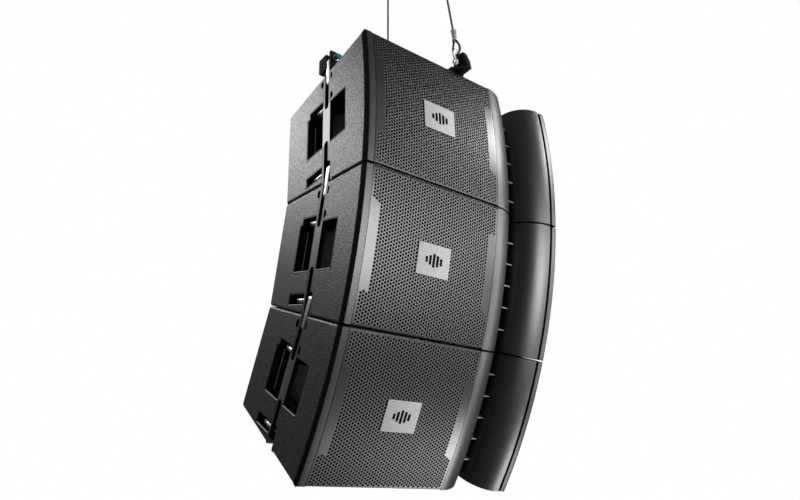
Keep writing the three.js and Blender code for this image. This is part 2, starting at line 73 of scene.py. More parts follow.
# Front
GRILLE_LEFT = -276.6
GRILLE_RIGHT = 85.4
HORN_X = 181
HORN_HALF = {-1: 94.6, 1: 92.5}
HORN_THROAT_DEPTH = 75
HORN_SLOT_HALF = 11
HORN_BACK = 90
VANE_COUNT = 5
VANE_FRONT = 54
BAFFLE_FRONT = 38
BAFFLE_BACK = 56
HORN_WALL = 3.0
TRIM_INNER = {-1: 277.2, 1: 281}
SHADE_BAND_INNER = 273.8
BADGE_X = -95.75
WOOFER_X = -95.5
WOOFER_HOLE = 141

# Side hardware
RAIL_FACE = HALF_WIDTH - 0.3
RAIL_BACK = 266.5
RAIL_FRONT = 160
RAIL_REAR = 192
BAR_X = 286.5
BAR_DEPTH = 176
BAR_THICKNESS = 15
BAR_PITCH = 63
BAR_END_RADIUS = 10
HINGE_HEIGHT = 126
STOW_HEIGHT = HINGE_HEIGHT - BAR_PITCH
LOCK_HEIGHT = -117.9
PIN_RADIUS = 4
PIN_SEAT = RAIL_REAR + 1
STORAGE_TIP = RAIL_FRONT + 1
LOCK_TIP = RAIL_FRONT - 10
STORAGE_GRIP = 35
LOCK_GRIP = 43
CHANNEL_STEP = {"above": -90, "below": -100, "widening": 12}  # the channel's foot is wider toward the front
FINGER_SLOT = {"low": LOCK_HEIGHT - 14, "high": LOCK_HEIGHT + 16, "rear": 264}
# (depth, height) of the notches beside each channel
NOTCHES = ((159, HINGE_HEIGHT + 7), (197, HINGE_HEIGHT + 2), (156, STOW_HEIGHT + 13), (154, LOCK_HEIGHT + 2))
NOTCH_RADIUS = 7.5
NOTCH_HALF = 2  # half the length of a notch's straight part
NOTCH_DEPTH = 12
HANDLE = {"front": 93, "rear": 265, "bottom": -52, "top": 60, "pocket_top": 76, "pocket_rear": 255}
HANDLE_INNER = 228
SHEET = 3
FIT = 0.3

# Input panel
INPUT_PLATE = (149.6, 89.6)
INPUT_RECESS = [size / 2 + 0.5 for size in INPUT_PLATE]
CONNECTOR_X = 45

# Rigging
PICK_HEIGHT = 216
FRONT_PICK = {"depth": 21.5, "lean": 0.128, "rope_top": 462}
REAR_PICK = {"depth": 336.5, "lean": -0.03, "rope_top": 676}
ROPE_RADIUS = 3
SHACKLE_BOW = 46
FERRULE_BOTTOM = 296
FERRULE_TOP = 334
STRAND_COUNT = 6
STRAND_POINTS = 6
STRAND_DEPTH = 0.12  # share of the rope's radius
STRAND_TWIST = 0.14  # radians for each millimetre
FRAME_PIN_HEIGHT = HINGE_HEIGHT + BAR_PITCH
FRAME_PIN_TIP = 198
FRAME_PIN_SEAT = 159.5
FRAME_GRIP = 16

grille_low, grille_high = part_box("top_grille")
ARC_FRONT = Vector((0, grille_low.y, (grille_low.z + grille_high.z) / 2))
ARC_CENTRE = ARC_FRONT + Vector((0, ARC_RADIUS * MM, 0))


def cabinet_place(index):
    """Where a cabinet's own frame lies in the row frame."""
    turn = Matrix.Rotation(index * WEDGE, 4, "X")
    return Matrix.Translation(ARC_CENTRE) @ turn @ Matrix.Translation((0, -ARC_RADIUS * MM, 0))


def link(obj):
    bpy.context.scene.collection.objects.link(obj)


# Camera


def make_camera():
    data = bpy.data.cameras.new("camera")
    data.lens = 31.083
    data.sensor_width = 36
    data.shift_x = -0.0249
    data.shift_y = 0.0287
    data.clip_start = 0.05
    camera = bpy.data.objects.new("camera", data)
    forward = Vector((0.58191, 0.72554, 0.36738)).normalized()
    right = Vector((0.78804, -0.61467, -0.03431))
    right = (right - forward * right.dot(forward)).normalized()
    turn = Matrix((right, right.cross(forward), -forward)).transposed()
    camera.matrix_world = Matrix.Translation((-1.0051, -1.37517, -1.14835)) @ turn.to_4x4()
    link(camera)
    bpy.context.scene.camera = camera


make_camera()

# Mesh making


def shade(mesh, degrees=32):
    """Merges doubled points, turns the faces out and keeps edges sharper than an angle."""
    work = bmesh.new()
    work.from_mesh(mesh)
    bmesh.ops.remove_doubles(work, verts=work.verts, dist=2e-6)
    bmesh.ops.recalc_face_normals(work, faces=work.faces)
    limit = math.radians(degrees)
    for face in work.faces:
        face.smooth = True
    for edge in work.edges:
        edge.smooth = len(edge.link_faces) == 2 and edge.calc_face_angle(0) < limit
    work.to_mesh(mesh)
    work.free()
    return mesh


def make_mesh(name, verts, faces, degrees=32):
    mesh = bpy.data.meshes.new(name)
    mesh.from_pydata([Vector(v) * MM for v in verts], [], faces)
    return shade(mesh, degrees)


def steps(low, high, count):
    return [low + (high - low) * i / count for i in range(count + 1)]


def skin(rings):
    """Faces between rings of points, closed at both ends."""
    count = len(rings[0])
    verts = [p for ring in rings for p in ring]
    faces = []
    for r in range(len(rings) - 1):
        a, b = r * count, (r + 1) * count
        faces += [(a + i, a + (i + 1) % count, b + (i + 1) % count, b + i) for i in range(count)]
    faces += [tuple(range(count)), tuple(range(len(verts) - count, len(verts)))]
    return verts, faces


def on_arc(x, depth, height):
    """A point at a depth behind the front arc and a height measured along it."""
    radius, angle = ARC_RADIUS - depth, height / ARC_RADIUS
    return x, ARC_RADIUS - radius * math.cos(angle), radius * math.sin(angle)


def arc_sweep(name, outline, low=-HALF_ARC, high=HALF_ARC, count=24, degrees=32):
    rings = [[on_arc(x, d, s) for x, d in outline] for s in steps(low, high, count)]
    return make_mesh(name, *skin(rings), degrees)


def half_height(depth, inset=0):
    return (ARC_RADIUS - depth) * math.tan(HALF_ANGLE) - inset


def prism(name, plan, inset=0, count=1, arc_depth=None):
    """A plan outline (x, depth) between the two joint planes; points at arc_depth follow the front arc."""
    rings = []
    for t in steps(-1, 1, count):
        rings.append([
            on_arc(x, d, t * HALF_ARC) if d == arc_depth else (x, d, t * half_height(d, inset))
            for x, d in plan])
    return make_mesh(name, *skin(rings))


def slab(name, outline, xa, xb):
    """A side outline (depth, height) between two x."""
    return make_mesh(name, *skin([[(x, d, h) for d, h in outline] for x in (xa, xb)]))


def block(name, xa, xb, front, back, low, high):
    return slab(name, [(front, low), (back, low), (back, high), (front, high)], xa, xb)


def lathe(name, profile, sides=32):
    """A turned piece about local Z from (radius, z) points, starting and ending on the axis."""
    rings = []
    for i in range(sides):
        turn = 2 * math.pi * i / sides
        rings.append([(r * math.cos(turn), r * math.sin(turn), z) for r, z in profile])
    verts = [p for ring in rings for p in ring]
    count = len(profile)
    faces = []
    for i in range(sides):
        a, b = i * count, (i + 1) % sides * count
        faces += [(a + k, b + k, b + k + 1, a + k + 1) for k in range(count - 1)]
    mesh = make_mesh(name, verts, faces)
    mesh.validate()
    return mesh


def aim(x, depth, height, direction=(0, 1, 0)):
    """Puts local Z along a direction at a point of the cabinet's frame."""
    turn = Vector(direction).to_track_quat("Z", "Y").to_matrix().to_4x4()
    return Matrix.Translation(Vector((x, depth, height)) * MM) @ turn


def join(name, parts):
    """One mesh from (mesh, matrix) pairs with the parts' materials, or an empty slot for a part with none."""
    made = bpy.data.meshes.new(name)
    work = bmesh.new()
    looks = []
    for mesh, matrix in parts:
        copy = mesh.copy()
        copy.transform(matrix)
        start = len(work.faces)
        work.from_mesh(copy)
        work.faces.ensure_lookup_table()
        for face in work.faces[start:]:
            look = copy.materials[face.material_index] if copy.materials else None
            if look not in looks:
                looks.append(look)
            face.material_index = looks.index(look)
        bpy.data.meshes.remove(copy)
    work.to_mesh(made)
    work.free()
    for look in looks:
        made.materials.append(look)
    return made


def circle(x, y, radius, count=28, start=0.0, end=360.0):
    points = []
    closed = end - start >= 360
    for i in range(count if closed else count + 1):
        angle = math.radians(start + (end - start) * i / count)
        points.append((x + radius * math.cos(angle), y + radius * math.sin(angle)))
    return points


def rounded(width, height, radius, x=0.0, y=0.0, count=6):
    points = []
    for corner in range(4):
        cx = x + (width / 2 - radius) * (1 if corner in (0, 3) else -1)
        cy = y + (height / 2 - radius) * (1 if corner in (0, 1) else -1)
        points += circle(cx, cy, radius, count, corner * 90, corner * 90 + 90)
    return points


def plate(name, loops, thickness, bevel, segments=2):
    """A flat plate about z = 0 from an outline and its holes, with softened edges."""
    curve = bpy.data.curves.new(name, "CURVE")
    curve.dimensions = "2D"
    curve.fill_mode = "BOTH"
    curve.extrude = (thickness / 2 - bevel) * MM
    curve.bevel_depth = bevel * MM
    curve.offset = -bevel * MM
    curve.bevel_resolution = segments
    for loop in loops:
        spline = curve.splines.new("POLY")
        spline.points.add(len(loop) - 1)
        for point, (x, y) in zip(spline.points, loop):
            point.co = (x * MM, y * MM, 0, 1)
        spline.use_cyclic_u = True
    holder = bpy.data.objects.new(name, curve)
    link(holder)
    graph = bpy.context.evaluated_depsgraph_get()
    mesh = bpy.data.meshes.new_from_object(holder.evaluated_get(graph))
    bpy.data.objects.remove(holder)
    bpy.data.curves.remove(curve)
    mesh.name = name
    return shade(mesh)


def carve(mesh, cutters):
    """Cuts solids out of a mesh one after the other and gives the new mesh."""
    holder = bpy.data.objects.new("carved", mesh)
    link(holder)
    helpers = []
    for cutter in cutters:
        helper = bpy.data.objects.new("cutter", cutter)
        link(helper)
        helper.hide_render = True
        modifier = holder.modifiers.new("cut", "BOOLEAN")
        modifier.operation = "DIFFERENCE"
        modifier.object = helper
        modifier.solver = "EXACT"
        modifier.material_mode = "TRANSFER"
        helpers.append(helper)
    graph = bpy.context.evaluated_depsgraph_get()
    made = bpy.data.meshes.new_from_object(holder.evaluated_get(graph))
    made.name = mesh.name
    for helper in helpers + [holder]:
        bpy.data.objects.remove(helper)
    return made


def smooth_path(points, per_span):
    """Points of a Catmull-Rom curve through given points."""
    points = [Vector(p) for p in points]
    ends = [2 * points[0] - points[1], *points, 2 * points[-1] - points[-2]]
    path = []
    for i in range(1, len(ends) - 2):
        a, b, c, d = ends[i - 1:i + 3]
        for k in range(per_span):
            t = k / per_span
            path.append(0.5 * (2 * b + (c - a) * t + (2 * a - 5 * b + 4 * c - d) * t * t
                               + (3 * b - a - 3 * c + d) * t ** 3))
    return path + [points[-1]]


def tube(name, path, section, twist=0.0, degrees=32):
    """A section (radius for each angle) swept along a path, turning by twist radians for each millimetre."""
    rings = []
    side = Vector((1, 0, 0))
    travelled = 0.0
    for i, point in enumerate(path):
        ahead = path[min(i + 1, len(path) - 1)] - path[max(i - 1, 0)]
        ahead.normalize()
        side = (side - ahead * side.dot(ahead)).normalized()
        up = ahead.cross(side)
        if i:
            travelled += (point - path[i - 1]).length
        ring = []
        for k, radius in enumerate(section):
            angle = 2 * math.pi * k / len(section) + twist * travelled
            ring.append(point + side * (radius * math.cos(angle)) + up * (radius * math.sin(angle)))
        rings.append(ring)
    return make_mesh(name, *skin(rings), degrees)


def strands(radius):
    """The outline of a wire rope: a ring of round strands."""
    section = []
    for i in range(STRAND_COUNT * STRAND_POINTS):
        phase = (i % STRAND_POINTS) / STRAND_POINTS * math.pi
        section.append(radius * (1 - STRAND_DEPTH + STRAND_DEPTH * math.sin(phase)))
    return section


def soften(obj, width):
    """Rounds a piece's edges and weights its normals by face size."""
    planar = obj.modifiers.new("planar", "DECIMATE")
    planar.decimate_type = "DISSOLVE"
    planar.angle_limit = math.radians(1)
    bevel = obj.modifiers.new("bevel", "BEVEL")
    bevel.width = width * MM
    bevel.segments = 2
    bevel.limit_method = "ANGLE"
    bevel.angle_limit = math.radians(40)
    bevel.use_clamp_overlap = True
    weigh(obj)


def weigh(obj):
    """Weights a piece's normals by face size, so that flat faces stay flat beside rounded edges."""
    normals = obj.modifiers.new("normals", "WEIGHTED_NORMAL")
    normals.keep_sharp = True
    normals.weight = 60


# Materials


class Look:
    """A Principled material with a few procedural helpers."""

    def __init__(self, name, color, roughness, metallic=0.0):
        self.material = bpy.data.materials.new(name)
        self.material.use_nodes = True
        self.nodes = self.material.node_tree.nodes
        self.links = self.material.node_tree.links
        self.shader = self.nodes["Principled BSDF"]
        self.color = color
        self.set("Base Color", (*color, 1))
        self.set("Roughness", roughness)
        self.set("Metallic", metallic)
        self.normal = None
        coordinates = self.nodes.new("ShaderNodeTexCoord")
        spread = self.nodes.new("ShaderNodeVectorMath")
        spread.operation = "MULTIPLY_ADD"
        info = self.nodes.new("ShaderNodeObjectInfo")
        self.links.new(info.outputs["Random"], spread.inputs[0])
        spread.inputs[1].default_value = (3.1, 5.3, 7.9)
        self.links.new(coordinates.outputs["Object"], spread.inputs[2])
        self.place = spread.outputs[0]
        self.object_place = coordinates.outputs["Object"]

    def set(self, socket, value):
        self.shader.inputs[socket].default_value = value

    def stretched(self, scale):
        node = self.nodes.new("ShaderNodeVectorMath")
        node.operation = "MULTIPLY"
        node.inputs[1].default_value = scale
        self.links.new(self.place, node.inputs[0])
        return node.outputs[0]

    def noise(self, scale, detail=2.0, roughness=0.5, vector=None):
        node = self.nodes.new("ShaderNodeTexNoise")
        node.inputs["Scale"].default_value = scale
        node.inputs["Detail"].default_value = detail
        node.inputs["Roughness"].default_value = roughness
        self.links.new(vector or self.place, node.inputs["Vector"])
        return node.outputs["Fac"]

    def cells(self, scale):
        node = self.nodes.new("ShaderNodeTexVoronoi")
        node.inputs["Scale"].default_value = scale
        self.links.new(self.place, node.inputs["Vector"])
        return node.outputs["Distance"]

    def remap(self, value, low, high, out_low=0.0, out_high=1.0):
        node = self.nodes.new("ShaderNodeMapRange")
        self.links.new(value, node.inputs["Value"])
        ends = {"From Min": low, "From Max": high, "To Min": out_low, "To Max": out_high}
        for name, number in ends.items():
            node.inputs[name].default_value = number
        return node.outputs["Result"]

    def math(self, operation, a, b):
        node = self.nodes.new("ShaderNodeMath")
        node.operation = operation
        for socket, value in zip(node.inputs, (a, b)):
            if isinstance(value, (int, float)):
                socket.default_value = value
            else:
                self.links.new(value, socket)
        return node.outputs[0]

    def mix(self, factor, a, b):
        node = self.nodes.new("ShaderNodeMix")
        node.data_type = "RGBA"
        self.links.new(factor, node.inputs["Factor"])
        for socket, value in ((node.inputs[6], a), (node.inputs[7], b)):
            if isinstance(value, tuple):
                socket.default_value = (*value, 1)
            else:
                self.links.new(value, socket)
        return node.outputs[2]

    def feed(self, socket, output):
        self.links.new(output, self.shader.inputs[socket])

    def colored(self, output):
        self.feed("Base Color", output)

    def rough(self, output):
        self.feed("Roughness", output)

    def bump(self, height, strength, distance):
        node = self.nodes.new("ShaderNodeBump")
        node.inputs["Strength"].default_value = strength
        node.inputs["Distance"].default_value = distance * MM
        self.links.new(height, node.inputs["Height"])
        if self.normal:
            self.links.new(self.normal, node.inputs["Normal"])
        self.normal = node.outputs["Normal"]
        self.feed("Normal", self.normal)


def shaded(color, factor):
    return tuple(c * factor for c in color)


def mottled(look, scale, low, high):
    """Slow colour variation between two shades of the look's own colour."""
    patch = look.remap(look.noise(scale, 3), 0.3, 0.7)
    return look.mix(patch, shaded(look.color, low), shaded(look.color, high))


def textured_paint():
    """Rough cabinet coating: small lumps that catch the light one by one."""
    look = Look("textured_paint", (0.012, 0.012, 0.0123), 0.46)
    grain = look.noise(300, 3, 0.6)
    base = mottled(look, 9, 0.9, 1.1)
    speck = look.remap(look.noise(360, 2), 0.45, 0.6)
    base = look.mix(speck, base, shaded(look.color, 2.3))
    dust = look.remap(look.noise(38, 5, 0.65), 0.62, 0.78, 0, 0.3)
    look.colored(look.mix(dust, base, (0.03, 0.03, 0.03)))
    look.rough(look.remap(grain, 0.3, 0.7, 0.38, 0.56))
    glint = look.remap(look.noise(340, 2), 0.36, 0.64, 0.1, 1.1)
    look.feed("Specular IOR Level", glint)
    look.bump(grain, 0.85, 0.9)
    look.bump(look.cells(480), 0.3, 0.4)
    return look.material


def powder_coat(name, color, roughness=0.5, metallic=0.25, specular=0.5, grain_depth=0.3):
    look = Look(name, color, roughness, metallic)
    look.set("Specular IOR Level", specular)
    grain = look.noise(900, 2)
    look.colored(mottled(look, 14, 0.88, 1.1))
    look.rough(look.remap(grain, 0.3, 0.7, roughness - 0.2 * grain_depth, roughness + 0.27 * grain_depth))
    look.bump(grain, grain_depth, 0.25)
    return look.material


def satin_plastic():
    look = Look("satin_plastic", (0.0045, 0.0045, 0.0048), 0.38)
    look.set("Specular IOR Level", 0.6)
    grain = look.noise(1400, 2)
    haze = look.noise(11, 4, vector=look.stretched((1, 1, 0.25)))
    look.colored(mottled(look, 8, 0.8, 1.25))
    look.rough(look.remap(haze, 0.3, 0.7, 0.34, 0.43))
    look.bump(grain, 0.15, 0.1)
    return look.material


def rail_steel():
    """Channel: bare satin face between the hand openings, painted face elsewhere, matt black inside as
    painted shade, with painted light on the cup's deep floor and rear wall.
    """
    look = Look("rail_steel", (0.05, 0.05, 0.052), 0.36)
    split = look.nodes.new("ShaderNodeSeparateXYZ")
    look.links.new(look.object_place, split.inputs[0])

    def between(axis, low, high):
        value = split.outputs[axis]
        inside = look.math("GREATER_THAN", value, low * MM)
        return look.math("MULTIPLY", inside, look.math("LESS_THAN", value, high * MM))

    out = look.math("GREATER_THAN", look.math("ABSOLUTE", split.outputs["X"], 0.0), (RAIL_FACE - 0.7) * MM)
    strip = look.math("MULTIPLY", out, between("Y", RAIL_FRONT - 13, RAIL_REAR + 0.5))
    face = look.math("MULTIPLY", strip, between("Y", RAIL_FRONT - 0.5, RAIL_REAR + 0.5))
    grip = look.math("MULTIPLY", face, between("Z", HANDLE["bottom"], HANDLE["top"]))
    streak = look.noise(90, 4, vector=look.stretched((1, 1, 0.12)))
    bare = look.mix(look.remap(streak, 0.35, 0.7), (0.1, 0.1, 0.103), (0.17, 0.17, 0.175))
    # painted light: the cup's deep floor and rear wall are made light grey for the light they catch; the rest
    # of the inside stays matt black as painted shade
    lit_plate_mask = look.math("LESS_THAN", look.math("ABSOLUTE", split.outputs["X"], 0.0), (RAIL_FACE - 55) * MM)
    inside = look.mix(lit_plate_mask, (0.012, 0.012, 0.0122), (0.2, 0.2, 0.2))
    base = look.mix(strip, inside, (0.02, 0.02, 0.0205))
    look.colored(look.mix(grip, base, bare))
    look.feed("Metallic", look.math("MULTIPLY", grip, 0.4))
    look.feed("Specular IOR Level", look.remap(strip, 0, 1, 0.25, 0.5))
    look.rough(look.remap(grip, 0, 1, 0.5, 0.43))
    look.bump(look.noise(700, 2), 0.2, 0.15)
    return look.material


def brushed_steel():
    look = Look("brushed_steel", (0.55, 0.55, 0.56), 0.3, 0.9)
    lines = look.noise(500, 3, vector=look.stretched((1, 1, 0.04)))
    scuff = look.noise(60, 5, 0.7)
    look.colored(look.mix(look.remap(scuff, 0.35, 0.75), (0.62, 0.62, 0.63), (0.4, 0.4, 0.41)))
    look.rough(look.remap(lines, 0.3, 0.7, 0.3, 0.48))
    look.bump(lines, 0.12, 0.1)
    return look.material


def zinc():
    look = Look("zinc", (0.5, 0.51, 0.53), 0.4, 0.85)
    spangle = look.cells(160)
    look.colored(look.mix(look.remap(spangle, 0.1, 0.8), (0.42, 0.43, 0.45), (0.66, 0.67, 0.69)))
    look.rough(look.remap(look.noise(80, 4), 0.3, 0.7, 0.32, 0.52))
    look.bump(look.noise(260, 3), 0.15, 0.2)
    return look.material


def wire():
    look = Look("wire_strands", (0.06, 0.06, 0.063), 0.6, 0.5)
    grime = look.remap(look.noise(150, 4), 0.45, 0.7)
    look.colored(look.mix(grime, (0.09, 0.09, 0.095), (0.035, 0.035, 0.035)))
    look.bump(look.noise(900, 2), 0.3, 0.2)
    return look.material


def coloured_plastic(name, color, roughness, specular=0.5):
    look = Look(name, color, roughness)
    look.set("Specular IOR Level", specular)
    look.colored(mottled(look, 60, 0.85, 1.15))
    look.rough(look.remap(look.noise(300, 3), 0.3, 0.7, roughness - 0.06, roughness + 0.1))
    look.bump(look.noise(1200, 2), 0.15, 0.1)
    return look.material


def foam():
    look = Look("grille_foam", (0.004, 0.004, 0.004), 1.0)
    look.colored(mottled(look, 300, 0.5, 1.6))
    look.set("Specular IOR Level", 0.1)
    look.bump(look.cells(700), 0.8, 0.8)
    return look.material


def rough_body(name, color, roughness, metallic, patch, grain, depth):
    """Patchy colour over an uneven surface; patch is (scale, low, high), grain and depth are the bump's."""
    look = Look(name, color, roughness, metallic)
    look.colored(mottled(look, *patch))
    look.bump(look.noise(grain, 4), depth, 0.3)
    return look.material


def badge_face():
    look = Look("badge_face", (0.2, 0.204, 0.208), 0.6)
    brushed = look.noise(600, 3, vector=look.stretched((0.04, 1, 1)))
    look.colored(look.mix(look.remap(brushed, 0.3, 0.7), (0.18, 0.184, 0.188), (0.225, 0.229, 0.233)))
    look.rough(look.remap(brushed, 0.3, 0.7, 0.55, 0.7))
    look.bump(brushed, 0.1, 0.1)
    return look.material


PAINT = textured_paint()
GRILLE_PAINT = powder_coat("grille_paint", (0.004, 0.004, 0.0042), 0.28, 0.0, 0.55, 0.04)
TRIM_PAINT = powder_coat("trim_paint", (0.004, 0.004, 0.0042), 0.37, 0.0, 0.47)
GRILLE_WEB = powder_coat("grille_web", (0.006, 0.006, 0.0062), 0.42, 0.0, 0.55)
HORN_PLASTIC = satin_plastic()
RAIL_STEEL = rail_steel()
STEEL = brushed_steel()
ZINC = zinc()
WIRE = wire()
BUTTON = coloured_plastic("button_plastic", (0.014, 0.12, 0.15), 0.35)
# matt black for the badge's meter bars and for the painted-shade bands on the front corners
MATT_BLACK = coloured_plastic("black_rubber", (0.003, 0.003, 0.003), 0.85, 0.03)
# near-black painted shade for the carved faces inside the box's hollows, channels and notches
INSIDE_SHADE = coloured_plastic("inside_black", (0.003, 0.003, 0.003), 0.85, 0.05)
KNOB = coloured_plastic("knob_plastic", (0.015, 0.015, 0.016), 0.42)
FRAME_COAT = powder_coat("frame_coat", (0.008, 0.008, 0.0084), 0.75, 0.0, 0.06)
DRIVER_CASE = powder_coat("driver_case", (0.02, 0.02, 0.021), 0.5, 0.2, 0.3)
PANEL_COAT = powder_coat("panel_coat", (0.02, 0.02, 0.021), 0.42, 0.3)
FOAM = foam()
PULP = rough_body("cone_pulp", (0.02, 0.02, 0.021), 0.85, 0.0, (120, 0.7, 1.4), 600, 0.4)
# grey cast metal for the woofer frame; on the horn's vanes the grey is painted light on black fins
CAST_METAL_AND_LIT_GREY = rough_body("cast_metal", (0.14, 0.14, 0.146), 0.5, 0.8, (40, 0.75, 1.2), 400, 0.3)
BADGE = badge_face()


# Placing pieces


def add(name, mesh, look, body, at, stands_for=()):
    """Puts a mesh into the scene as a piece that rides on a body.

    The look goes only on a mesh with no material slots. A joined mesh always has slots, and one joined from
    parts without a material has a single empty slot, so it stays without a material.
    """
    if not mesh.materials:
        mesh.materials.append(look)
    obj = bpy.data.objects.new(name, mesh)
    link(obj)
    obj.matrix_world = at
    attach(obj, body)
    if stands_for:
        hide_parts(*stands_for)
    return obj


def paint_node(name, look):
    """Gives a CAD node that stays in view its material."""
    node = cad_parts[name]
    node.data.materials.clear()
    node.data.materials.append(look)
    return node


# Cabinet box


def capsule(depth, height, radius, half_length):
    """An upright round-ended side outline."""
    return (circle(depth, height + half_length, radius, 8, 0, 180)
            + circle(depth, height - half_length, radius, 8, 180, 360))


def flare(side, outset=0.0, count=20):
    """One side of the horn from mouth to throat along a quarter ellipse, moved out by a wall thickness."""
    points = []
    mouth = HORN_HALF[side]
    for i in range(count + 1):
        turn = math.pi / 2 * i / count
        x = mouth - (mouth - HORN_SLOT_HALF) * math.sin(turn)
        depth = HORN_THROAT_DEPTH * (1 - math.cos(turn))
        normal = Vector((HORN_THROAT_DEPTH * math.sin(turn), (mouth - HORN_SLOT_HALF) * math.cos(turn)))
        normal = normal.normalized() * outset
        points.append((HORN_X + side * (x + normal.x), depth + normal.y))
    return points


def box_mesh():
    rear = REAR_WIDTH / 2
    plan = [(-HALF_WIDTH, BOX_FRONT), (HALF_WIDTH, BOX_FRONT), (HALF_WIDTH, SIDE_DEPTH),
            (rear, CABINET_DEPTH), (-rear, CABINET_DEPTH), (-HALF_WIDTH, SIDE_DEPTH)]
    outer = prism("box", plan, count=16, arc_depth=BOX_FRONT)
    work = bmesh.new()
    work.from_mesh(outer)
    bmesh.ops.dissolve_limit(work, angle_limit=math.radians(0.2), verts=work.verts, edges=work.edges)
    sharp = [e for e in work.edges if e.calc_face_angle(0) > math.radians(25)]
    bmesh.ops.bevel(work, geom=sharp, offset=5.5 * MM, segments=4, profile=0.5, affect="EDGES")
    work.to_mesh(outer)
    work.free()
    inner, inner_rear = HALF_WIDTH - PANEL, rear - PANEL / 2
    chest = [(-inner, BAFFLE_BACK), (inner, BAFFLE_BACK), (inner, SIDE_DEPTH - PANEL / 2),
             (inner_rear, CABINET_DEPTH - PANEL), (-inner_rear, CABINET_DEPTH - PANEL),
             (-inner, SIDE_DEPTH - PANEL / 2)]
    wall = HORN_WALL + 0.5
    mouth = ([(GRILLE_RIGHT, -9)] + flare(-1, wall) + [(HORN_X - HORN_SLOT_HALF - wall, HORN_BACK + 2),
             (HORN_X + HORN_SLOT_HALF + wall, HORN_BACK + 2)] + flare(1, wall)[::-1] + [(HORN_X + 104, -9)])
    outer.materials.append(PAINT)
    cutters = [
        prism("chest", chest, PANEL),
        prism("chamber", [(GRILLE_LEFT + 3, -9), (GRILLE_RIGHT - 3, -9), (GRILLE_RIGHT - 3, BAFFLE_FRONT),
                          (GRILLE_LEFT + 3, BAFFLE_FRONT)], PANEL),
        turned_cutter(WOOFER_HOLE, WOOFER_X, 0, BAFFLE_FRONT - 2, BAFFLE_BACK + 2, 64),
        arc_sweep("mouth", mouth, -HALF_ARC - 9, HALF_ARC + 9, 16),
        block("panel", -INPUT_RECESS[0], INPUT_RECESS[0], CABINET_DEPTH - 40, CABINET_DEPTH + 5,
              -INPUT_RECESS[1], INPUT_RECESS[1]),
    ]
    face = HALF_WIDTH + 5
    gap = SHEET + FIT
    for _, side in SIDES:
        low, high = HANDLE["bottom"] - gap, HANDLE["top"] + gap
        cup_front, cup_rear = HANDLE["front"] - gap, HANDLE["rear"] + gap
        pocket_rear, pocket_top = HANDLE["pocket_rear"] + gap, HANDLE["pocket_top"] + gap
        inner_x, back_x = side * (HANDLE_INNER - SHEET - FIT), side * (RAIL_BACK - FIT)
        cutters.append(slab("cup", [
            (cup_front, low), (cup_rear, low), (cup_rear, high), (pocket_rear, high),
            (pocket_rear, pocket_top), (RAIL_REAR - FIT, pocket_top), (RAIL_REAR - FIT, high),
            (cup_front, high)], inner_x, side * face))
        rail_front, wide_front = RAIL_FRONT - FIT, RAIL_FRONT - CHANNEL_STEP["widening"] - FIT
        cutters.append(slab("channel", [
            (rail_front, 200), (rail_front, CHANNEL_STEP["above"]), (wide_front, CHANNEL_STEP["below"]),
            (wide_front, -200), (RAIL_REAR + FIT, -200), (RAIL_REAR + FIT, 200)], back_x, side * face))
        cutters.append(block("finger", back_x, side * face, RAIL_REAR - 2, FINGER_SLOT["rear"] + gap,
                             FINGER_SLOT["low"] - FIT, FINGER_SLOT["high"] + FIT))
        for depth, height in NOTCHES:
            outline = capsule(depth, height, NOTCH_RADIUS, NOTCH_HALF)
            cutters.append(slab("notch", outline, side * (HALF_WIDTH - NOTCH_DEPTH), side * face))
    # the carved faces get near-black painted shade, standing in for the shade inside the hollows
    for cutter in cutters:
        cutter.materials.append(INSIDE_SHADE)
    mesh = carve(outer, cutters)
    return shade(mesh, 28)


def turned_cutter(radius, x, height, front, back, sides):
    mesh = lathe("bore", [(0, 0), (radius, 0), (radius, back - front), (0, back - front)], sides)
    mesh.transform(aim(x, front, height))
    return mesh


# Trim and shade bands


def trim_outline(side, inner, outer, depth, radius):
    """A flat strip with its outer front corner rounded."""
    corner = [(outer - radius + radius * math.sin(a), radius - radius * math.cos(a))
              for a in steps(0, math.pi / 2, 6)]
    points = [(inner, 0.6), (inner + 0.6, 0)] + corner + [(outer, depth), (inner, depth)]
    return [(side * x, d) for x, d in points]


def trims():
    """Meshes of the two front edge strips and the black bands behind them, which are painted shade on the
    box's rounded front edge.
    """
    reach = HALF_ARC - 2.2
    made = {}
    for name, side in SIDES:
        outline = trim_outline(side, TRIM_INNER[side], HALF_WIDTH - 3.8, 4, 1.8)
        made["trim", name] = arc_sweep("trim", outline, -reach, reach)
        # painted shade: this black band round the front corner stands in for the shade and dark reflection on
        # the box's rounded front edge
        gasket = [
            (SHADE_BAND_INNER, 3), (SHADE_BAND_INNER + 3, 3), (SHADE_BAND_INNER + 3.1, 4.3), (HALF_WIDTH - 3.6, 4.3),
            (HALF_WIDTH - 3.6, 1.6), (HALF_WIDTH - 2.2, 1.0), (HALF_WIDTH - 1.2, 2.2),
            (HALF_WIDTH - 1.2, BOX_FRONT + 4), (SHADE_BAND_INNER, BOX_FRONT + 4)]
        outline = [(side * x, depth) for x, depth in gasket]
        made["gasket", name] = arc_sweep("gasket", outline, -reach - 1.6, reach + 1.6)
    return made


# Grille

HOLE_PITCH = 8.0
COLUMN_PITCH = HOLE_PITCH * math.sqrt(3) / 2
HOLE_RADIUS = 3.0
HOLE_SIDES = 12
PUNCHED = {"left": -269, "right": 79.5}  # the sheet is solid beyond these
STRIP = {"top": 103, "bottom": -97, "left": 20, "right": 17}  # solid edge strips: arc heights and widths
GRILLE_END = HALF_ARC - 3.5
EDGE_ROLL = 0.9
SHEET_METAL = 1.2


def perforated(x, height):
    """True where the sheet has a hole: everywhere but on its edges and the two solid strips."""
    slope_left = min(max(STRIP["top"] - height, 0), STRIP["left"])
    left = PUNCHED["left"] + (slope_left if height > STRIP["bottom"] else 0)
    slope_right = min(max(height - STRIP["bottom"], 0), STRIP["right"])
    right = PUNCHED["right"] - (slope_right if height < STRIP["top"] else 0)
    return left < x < right


